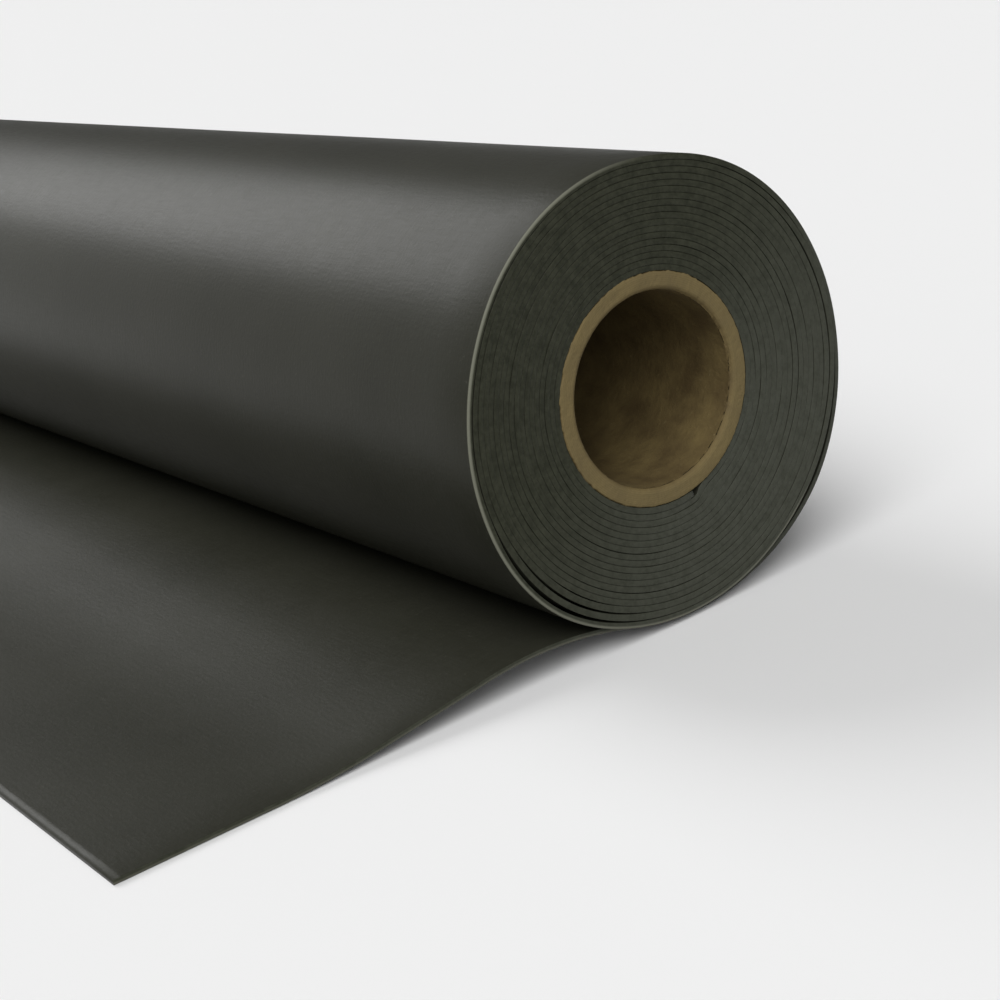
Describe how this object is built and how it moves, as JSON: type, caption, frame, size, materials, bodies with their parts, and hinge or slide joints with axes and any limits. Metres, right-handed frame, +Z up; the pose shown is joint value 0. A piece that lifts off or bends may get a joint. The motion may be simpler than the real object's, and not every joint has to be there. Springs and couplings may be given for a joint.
{
  "type": "roll of roofing felt",
  "caption": "Roll of smooth dark roofing sheet on a cardboard tube, lying on its side with the loose outer end run out flat on the floor.",
  "frame": {"origin": "on the floor, under the middle of the whole outline of roll and run-out sheet", "axes": "+X along the roll's axis towards the end with the open coil in the picture, +Y away from the run-out end, +Z up"},
  "size_m": [1, 0.3466, 0.1832],
  "materials": {
    "felt": "satin",
    "cardboard": "matte"
  },
  "bodies": {
    "root": {"felt_sheet": "felt", "core_tube": "cardboard"}
  },
  "joints": []
}
